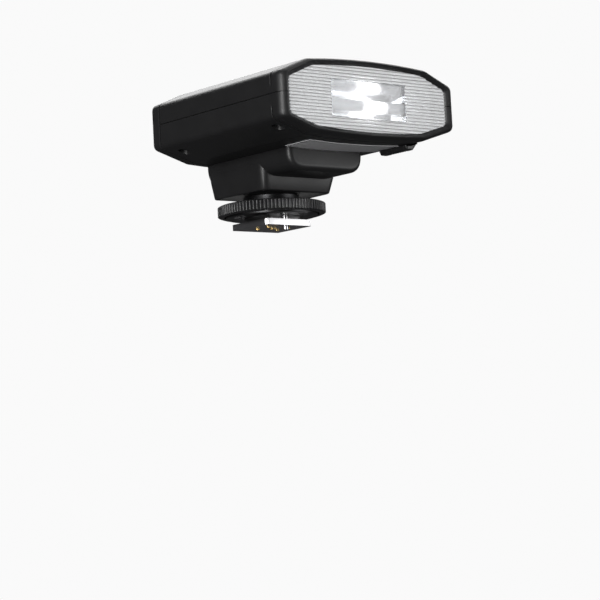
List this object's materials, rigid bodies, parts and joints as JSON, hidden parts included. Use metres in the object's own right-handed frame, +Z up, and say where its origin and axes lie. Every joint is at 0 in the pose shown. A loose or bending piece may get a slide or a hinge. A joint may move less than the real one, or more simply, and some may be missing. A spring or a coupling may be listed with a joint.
{
  "type": "speedlight flash",
  "caption": "Compact shoe-mount flash: octagonal fixed head with ribbed lens, stepped neck, knurled locking wheel and accessory-shoe foot.",
  "frame": {"origin": "centre of the underside of the shoe foot, on the locking wheel's axis", "axes": "+Z up out of the camera shoe, -Y the way the light comes out, +X towards the battery door"},
  "size_m": [0.0702, 0.0692, 0.0469],
  "materials": {
    "black_casing": "fine-textured matte black ABS",
    "black_controls": "smooth satin black plastic",
    "test_lamp": "translucent red plastic",
    "lens_clear": "clear ribbed acrylic",
    "mirror_sheet": "bright anodised reflector sheet",
    "tube_glass": "clear quartz glass",
    "screen_glass": "smoked clear window",
    "screen_panel": "grey-green display",
    "board": "green solder mask",
    "chip": "black epoxy",
    "copper": "enamelled winding wire and ferrite",
    "capacitor_sleeve": "black shrink sleeve",
    "cell_sleeve": "plain grey sleeve",
    "tray_plastic": "matte black ABS",
    "contact_metal": "nickel plated spring steel",
    "screw_steel": "blackened steel",
    "pin_steel": "bright steel",
    "foot_metal": "nickel plated steel",
    "gold_contact": "gold plated",
    "label_silver": "matte silver-grey plate, blank"
  },
  "bodies": {
    "flash_body": {"battery_contacts": "contact_metal", "battery_tray": "tray_plastic", "board_chips": "chip", "case_screws": "screw_steel", "contact_block": "tray_plastic", "contact_spring": "contact_metal", "contact_stud": "contact_metal", "display_board": "board", "flash_capacitor": "capacitor_sleeve", "flash_tube": "tube_glass", "foot_plate": "foot_metal", "fresnel_lens": "lens_clear", "front_cell": "cell_sleeve", "hinge_pin": "pin_steel", "lower_shell": "black_casing", "main_board": "board", "pedestal": "black_casing", "pedestal_screws": "screw_steel", "power_board": "board", "power_transistor": "chip", "rating_label": "label_silver", "rear_cell": "cell_sleeve", "rear_cover": "black_casing", "reflector": "mirror_sheet", "reflector_holder": "tray_plastic", "screen_panel": "screen_panel", "screen_window": "screen_glass", "stem_screws": "screw_steel", "step_up_transformer": "copper", "switch_base": "contact_metal", "tactile_switches": "chip", "threaded_stem": "pin_steel", "trigger_transformer": "copper", "tube_end_caps": "tray_plastic", "upper_shell": "black_casing"},
    "mode_button": {"mode_button": "black_controls"},
    "plus_button": {"plus_button": "black_controls"},
    "minus_button": {"minus_button": "black_controls"},
    "test_button": {"test_button": "test_lamp"},
    "power_switch": {"power_switch": "black_controls"},
    "battery_door": {"battery_door": "black_casing", "door_contacts": "contact_metal"},
    "door_latch": {"door_latch": "black_controls"},
    "clamp_plate": {"clamp_plate": "pin_steel"},
    "locking_wheel": {"locking_wheel": "black_controls"},
    "lock_pin": {"lock_pin": "pin_steel"},
    "contact_pins": {"contact_pins": "gold_contact"}
  },
  "joints": [
    {"name": "mode_button_press", "type": "slide", "parent": "flash_body", "child": "mode_button", "axis": [0, -1, 0], "range_m": [0, 0.0004], "stiffness_N_per_m": 600, "springref_m": -0.001},
    {"name": "plus_button_press", "type": "slide", "parent": "flash_body", "child": "plus_button", "axis": [0, -1, 0], "range_m": [0, 0.0004], "stiffness_N_per_m": 600, "springref_m": -0.001},
    {"name": "minus_button_press", "type": "slide", "parent": "flash_body", "child": "minus_button", "axis": [0, -1, 0], "range_m": [0, 0.0004], "stiffness_N_per_m": 600, "springref_m": -0.001},
    {"name": "test_button_press", "type": "slide", "parent": "flash_body", "child": "test_button", "axis": [0, -1, 0], "range_m": [0, 0.0004], "stiffness_N_per_m": 600, "springref_m": -0.001},
    {"name": "power_slide", "type": "slide", "parent": "flash_body", "child": "power_switch", "axis": [0, 0, 1], "range_m": [0, 0.003]},
    {"name": "door_swing", "type": "hinge", "parent": "flash_body", "child": "battery_door", "pos_m": [0.0338, -0.00055, 0.0327], "axis": [0, 0, 1], "range_deg": [0, 100]},
    {"name": "latch_slide", "type": "slide", "parent": "flash_body", "child": "door_latch", "axis": [0, 1, 0], "range_m": [0, 0.0025], "stiffness_N_per_m": 200, "springref_m": -0.001},
    {"name": "clamp_lift", "type": "slide", "parent": "flash_body", "child": "clamp_plate", "axis": [0, 0, 1], "range_m": [0, 0.0015]},
    {"name": "wheel_turn", "type": "hinge", "parent": "clamp_plate", "child": "locking_wheel", "pos_m": [0, 0, 0.0055], "axis": [0, 0, 1], "range_deg": [0, 360]},
    {"name": "lock_pin_lift", "type": "slide", "parent": "flash_body", "child": "lock_pin", "axis": [0, 0, 1], "range_m": [0, 0.00145]},
    {"name": "contact_press", "type": "slide", "parent": "flash_body", "child": "contact_pins", "axis": [0, 0, 1], "range_m": [0, 0.00035], "stiffness_N_per_m": 500, "springref_m": -0.001}
  ],
  "couplings": [
    {"joint": "wheel_turn", "follows": "clamp_lift", "rad_per_m": 4188.7},
    {"joint": "lock_pin_lift", "follows": "clamp_lift", "ratio": 0.93333}
  ]
}
